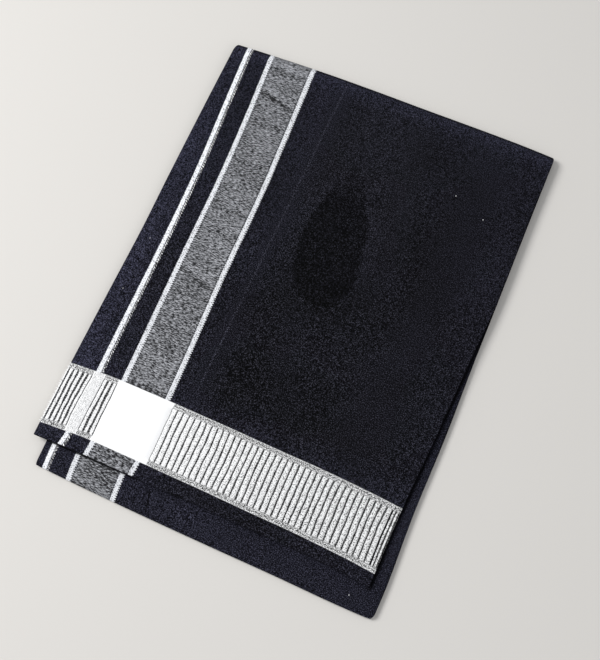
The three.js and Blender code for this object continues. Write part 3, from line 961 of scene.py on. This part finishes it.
def cloth_material(look):
    """The woven cloth: black ground, border with zari and white lines, and the ribbed cross band."""
    n = Nodes("Lungi cloth")
    spot = n.add("ShaderNodeTexCoord").outputs["Object"]
    at = places_on_cloth(n, spot)
    g = yarn_grains(n, spot, at)
    ground = ground_colour(n, look, at, g)
    colour, lines, in_zari = border_colour(n, look, at, g, ground)
    band = at.s.between(BAND_NEAR, BAND_FAR, 0.4)
    colour = n.blend(band, colour, band_colour(n, look, at, g, ground))

    # Shadow along the hem's edge, and under it where the border shows on the near fold
    hem_edge = (1 - at.s.above(0.5, 0.4)) * (1 - at.a.above(96, 12) * 0.6)
    under_hem = (at.y - HEM_Y - 0.6).between(-0.5, 3.0, 0.6) * (1 - at.x.above(-68, 10)) * at.fold
    shadow = (hem_edge + under_hem * 0.9).clamped()
    colour = n.blend(shadow, colour, n.tone(look.ground, 0.3))
    for place, deep, size in LINT:
        ends = {0: n.vector(at.x, at.y), 1: (place, deep, 0)}
        away = n.add("ShaderNodeVectorMath", {"operation": "DISTANCE"}, ends)
        colour = n.blend(1 - Number(n, away.outputs[1]).above(size, 0.4), colour, look.white)

    is_white = (lines + band).clamped()
    is_zari = in_zari * (1 - band)
    weave = (at.x * 9.0).sine() * (at.s * 9.0).sine()
    height = g.fine * 0.6 + weave * 0.2 + g.streak * is_zari * 0.8
    bump = n.add("ShaderNodeBump", {}, {"Strength": 0.4, "Distance": 0.0003, "Height": height})
    shader = n.add("ShaderNodeBsdfPrincipled", {}, {
        "Base Color": colour,
        "Roughness": 0.92 - is_zari * 0.42 - is_white * 0.12,
        "Metallic": is_zari * 0.35,
        "Normal": bump.outputs[0],
        "Specular IOR Level": look.gloss,
        "Sheen Weight": look.sheen,
        "Sheen Roughness": 0.5,
        "Sheen Tint": look.sheen_tint,
    })
    n.add("ShaderNodeOutputMaterial", {}, {"Surface": shader.outputs[0]})
    return n.material


def plain_material(name, colour, rough, gloss):
    """A plain matt finish."""
    n = Nodes(name)
    shader = n.add("ShaderNodeBsdfPrincipled", {},
                   {"Base Color": colour, "Roughness": rough, "Specular IOR Level": gloss})
    n.add("ShaderNodeOutputMaterial", {}, {"Surface": shader.outputs[0]})
    return n.material


class LungiSizes(bpy.types.PropertyGroup):
    """Sizes of the folded cloth."""

    crease: bpy.props.FloatProperty(
        name="Creases", description="How much of the creases' height shows", default=1.0, min=0, max=3)
    rib: bpy.props.FloatProperty(
        name="Rib height", description="How far the band's ribs stand up", default=0.0005, unit="LENGTH")
    piping: bpy.props.FloatProperty(
        name="Piping height", description="How far the band's piping stands up", default=0.00045,
        unit="LENGTH")
    corner: bpy.props.FloatProperty(
        name="Corners", description="How much of the folds' drawn-in ends shows", default=1.0, min=0, max=2)


class LungiLook(bpy.types.PropertyGroup):
    """Colours and finish of the yarns."""

    ground: bpy.props.FloatVectorProperty(
        name="Ground", description="Black ground", subtype="COLOR", size=4,
        default=paint(0.0050, 0.0050, 0.0067))
    # Colour of the painted sheen that the ground gains where it is pale and bluish
    painted_sheen: bpy.props.FloatVectorProperty(
        name="Haze", description="What the ground gains where it is pale and bluish", subtype="COLOR", size=4,
        default=paint(0.0105, 0.0108, 0.019))
    white: bpy.props.FloatVectorProperty(
        name="White", description="White yarn", subtype="COLOR", size=4, default=paint(0.90, 0.90, 0.90))
    cord: bpy.props.FloatVectorProperty(
        name="Cords", description="White yarn of the three lines", subtype="COLOR", size=4,
        default=paint(0.87, 0.885, 0.92))
    zari: bpy.props.FloatVectorProperty(
        name="Zari", description="Grey metallic yarn", subtype="COLOR", size=4,
        default=paint(0.125, 0.127, 0.135))
    groove: bpy.props.FloatProperty(
        name="Groove", description="Width of the dark groove between two ribs", default=0.0013, unit="LENGTH")
    stain: bpy.props.FloatProperty(
        name="Dark patch", description="How much darker the patch is", default=0.71, min=0, max=1)
    gloss: bpy.props.FloatProperty(
        name="Gloss", description="Specular level of the yarn", default=0.07, min=0, max=1)
    sheen: bpy.props.FloatProperty(
        name="Sheen", description="Weight of the soft sheen", default=0.01, min=0, max=1)
    sheen_tint: bpy.props.FloatVectorProperty(
        name="Sheen tint", description="Colour of the sheen", subtype="COLOR", size=4,
        default=paint(0.7, 0.75, 1.0))


# Width of the camera's sensor, and the photo's height and focal length in its own pixels
SENSOR = 36
PHOTO_HEIGHT = 660
FOCAL_PIXELS = 1300


class LungiStageSizes(bpy.types.PropertyGroup):
    """Camera's place, aim and lens."""

    azimuth: bpy.props.FloatProperty(
        name="Azimuth", description="Camera's turn round the cloth", default=math.radians(23.35),
        subtype="ANGLE")
    elevation: bpy.props.FloatProperty(
        name="Elevation", description="Camera's height above the table", default=math.radians(73),
        subtype="ANGLE")
    distance: bpy.props.FloatProperty(
        name="Distance", description="Camera to the point looked at", default=1.1518, unit="LENGTH")
    lens: bpy.props.FloatProperty(
        name="Lens", description="Focal length in millimetres", default=SENSOR * FOCAL_PIXELS / PHOTO_HEIGHT)
    target: bpy.props.FloatVectorProperty(
        name="Target", description="Point looked at", default=(0.0085, -0.01778, 0.0), subtype="XYZ")


def shared_material():
    """The cloth's material, made once."""
    found = bpy.data.materials.get("Lungi cloth")
    return found or cloth_material(bpy.context.scene.lungi_look)


class LUNGI_OT_top_leaf(bpy.types.Operator):
    """Top strip: hem, cross band, field and the upper half of the far fold"""

    bl_idname = "lungi.top_leaf"
    bl_label = "Top leaf"

    def execute(self, context):
        sizes = context.scene.lungi_sizes
        rows = [row(start) for start in HEM_ROWS]
        rows += band_rows(sizes.piping / MM, sizes.rib / MM)
        rows += flat_rows(BAND_FAR + 1.5, FAR_FLAT, 64)
        rows += nose_rows(LEAF, "far outer", True)
        made = cloth_piece("top_leaf_cloth", "top", rows, 0.0, sizes, shared_material())
        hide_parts("top_leaf")
        return {"FINISHED"}


class LUNGI_OT_selvedge_threads(bpy.types.Operator):
    """Cut ends of the cross band's yarn along the selvedge"""

    bl_idname = "lungi.selvedge_threads"
    bl_label = "Selvedge threads"

    def execute(self, context):
        generator = random.Random(5)
        count = 58
        root = 0.8
        low, high = HEM_Y + BAND_NEAR + 1, HEM_Y + BAND_FAR - 1
        deselect()
        made = []
        for number in range(count):
            y = low + (high - low) * (number + generator.uniform(-0.4, 0.4)) / (count - 1)
            edge = float(sample(SIDES, SIDE_COLUMNS["top"][0], y))
            over = max(float(sample(SIDES, SIDE_COLUMNS["low"][0], y)) - DROOP_START - edge, 0)
            z = STACK - DROOP * over**2 - PLY / 2
            length = generator.uniform(0.3, 1.7)
            lean, rise = generator.uniform(-0.9, 0.9), generator.uniform(-0.25, 0.3)
            bpy.ops.mesh.primitive_cylinder_add(vertices=5, radius=1, depth=1)
            thread = context.object
            for vertex in thread.data.vertices:
                far = vertex.co.z + 0.5
                thin = 0.2 - 0.08 * far
                across = edge + root - (length + root) * far
                along = y + lean * far * far + vertex.co.x * thin
                up = z + rise * far + vertex.co.y * thin
                vertex.co = Vector((across, along, up)) * MM
            made.append(thread)
        for thread in made:
            thread.select_set(True)
        context.view_layer.objects.active = made[0]
        bpy.ops.object.join()
        joined = context.object
        joined.name = "selvedge_threads"
        joined.data.name = joined.name
        bpy.ops.object.mode_set(mode="EDIT")
        bpy.ops.mesh.select_all(action="SELECT")
        bpy.ops.mesh.normals_make_consistent(inside=False)
        bpy.ops.object.mode_set(mode="OBJECT")
        white = tuple(context.scene.lungi_look.white)
        joined.data.materials.append(plain_material("White yarn", white, 0.85, 0.1))
        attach(joined, "root")
        return {"FINISHED"}


class LUNGI_OT_under_leaf(bpy.types.Operator):
    """Strip on the table, with the lower halves of both folds"""

    bl_idname = "lungi.under_leaf"
    bl_label = "Under leaf"

    def execute(self, context):
        sizes = context.scene.lungi_sizes
        rows = nose_rows(LEAF, "far outer", False)
        rows += flat_rows(FAR_FLAT, NEAR_FLAT, 60)
        rows += nose_rows(NEAR_FLAT, "near", True)
        made = cloth_piece("under_leaf_cloth", "under", rows, TOP_STRETCH, sizes, shared_material())
        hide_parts("under_leaf")
        return {"FINISHED"}


class LUNGI_OT_middle_strips(bpy.types.Operator):
    """The near fold's strip and the inner strip, whose hem lies under the top leaf's"""

    bl_idname = "lungi.middle_strips"
    bl_label = "Middle strips"

    def execute(self, context):
        sizes = context.scene.lungi_sizes
        rows = nose_rows(NEAR_FLAT, "near", False)
        rows += flat_rows(NEAR_FLAT, 0, 9)
        rows += flat_rows(8, FAR_FLAT, 48)
        rows += nose_rows(LEAF, "far inner", True)
        place = TOP_STRETCH + UNDER_STRETCH
        lower = cloth_piece("lower_fold_cloth", "lower", rows, place, sizes, shared_material())
        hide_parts("lower_fold", "hidden_layers")
        rows = nose_rows(LEAF, "far inner", False)
        rows += flat_rows(FAR_FLAT, 90, 34)
        rows += flat_rows(80, INNER_HEM_BACK, 16)
        place = CLOTH_LENGTH - INNER_STRETCH
        inner = cloth_piece("inner_hem_cloth", "inner", rows, place, sizes, shared_material())
        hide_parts("inner_hem", "hidden_layers")
        return {"FINISHED"}


class LUNGI_OT_stage(bpy.types.Operator):
    """Camera at the photo's angle, pale table and soft studio light"""

    bl_idname = "lungi.stage"
    bl_label = "Stage"

    def execute(self, context):
        sizes = context.scene.lungi_stage
        a, e = sizes.azimuth, sizes.elevation
        back = Vector((math.sin(a) * math.cos(e), -math.cos(a) * math.cos(e), math.sin(e)))
        deselect()
        bpy.ops.object.camera_add()
        camera = context.object
        camera.name = "Camera"
        camera.location = Vector(sizes.target) + back * sizes.distance
        camera.rotation_euler = back.to_track_quat("Z", "Y").to_euler()
        camera.data.lens = sizes.lens
        camera.data.sensor_width = SENSOR
        camera.data.clip_start = 0.05
        context.scene.camera = camera

        deselect()
        bpy.ops.mesh.primitive_plane_add(size=6, location=(0, 0, -0.0003))
        table = context.object
        table.name = "table"
        table.data.materials.append(plain_material("Table", paint(0.62, 0.60, 0.57), 0.8, 0.2))

        for name, place, size, power in (
            ("Key", (-1.5, -0.15, 1.6), 1.0, 42.0),
            ("Fill", (1.2, -1.0, 1.8), 1.8, 9.0),
        ):
            deselect()
            bpy.ops.object.light_add(type="AREA", location=place)
            light = context.object
            light.name = name
            light.data.size = size
            light.data.energy = power
            light.rotation_euler = Vector(place).to_track_quat("Z", "Y").to_euler()
        world = bpy.data.worlds.new("Studio")
        world.use_nodes = True
        world.node_tree.nodes["Background"].inputs[0].default_value = (0.95, 0.97, 1.0, 1)
        world.node_tree.nodes["Background"].inputs[1].default_value = 0.5
        context.scene.world = world
        context.scene.view_settings.view_transform = "Standard"
        return {"FINISHED"}


class LUNGI_PT_panel(bpy.types.Panel):
    """Sizes, colours and steps of the folded lungi"""

    bl_idname = "LUNGI_PT_panel"
    bl_label = "Folded lungi"
    bl_space_type = "VIEW_3D"
    bl_region_type = "UI"
    bl_category = "Lungi"

    def draw(self, context):
        for group in (context.scene.lungi_sizes, context.scene.lungi_look, context.scene.lungi_stage):
            box = self.layout.box()
            for name in group.__annotations__:
                box.prop(group, name)
        for step in STEPS:
            self.layout.operator(step)


CLASSES = (
    LungiSizes, LungiLook, LungiStageSizes, LUNGI_OT_stage, LUNGI_OT_top_leaf, LUNGI_OT_selvedge_threads,
    LUNGI_OT_under_leaf, LUNGI_OT_middle_strips, LUNGI_PT_panel,
)
STEPS = ("lungi.stage", "lungi.top_leaf", "lungi.selvedge_threads", "lungi.under_leaf", "lungi.middle_strips")


def register():
    for item in CLASSES:
        bpy.utils.register_class(item)
    bpy.types.Scene.lungi_sizes = bpy.props.PointerProperty(type=LungiSizes)
    bpy.types.Scene.lungi_look = bpy.props.PointerProperty(type=LungiLook)
    bpy.types.Scene.lungi_stage = bpy.props.PointerProperty(type=LungiStageSizes)


def unregister():
    del bpy.types.Scene.lungi_sizes
    del bpy.types.Scene.lungi_look
    del bpy.types.Scene.lungi_stage
    for item in reversed(CLASSES):
        bpy.utils.unregister_class(item)


def main():
    """Makes every piece."""
    register()
    bpy.ops.lungi.stage()
    bpy.ops.lungi.top_leaf()
    bpy.ops.lungi.selvedge_threads()
    bpy.ops.lungi.under_leaf()
    bpy.ops.lungi.middle_strips()


if __name__ == "__main__":
    main()
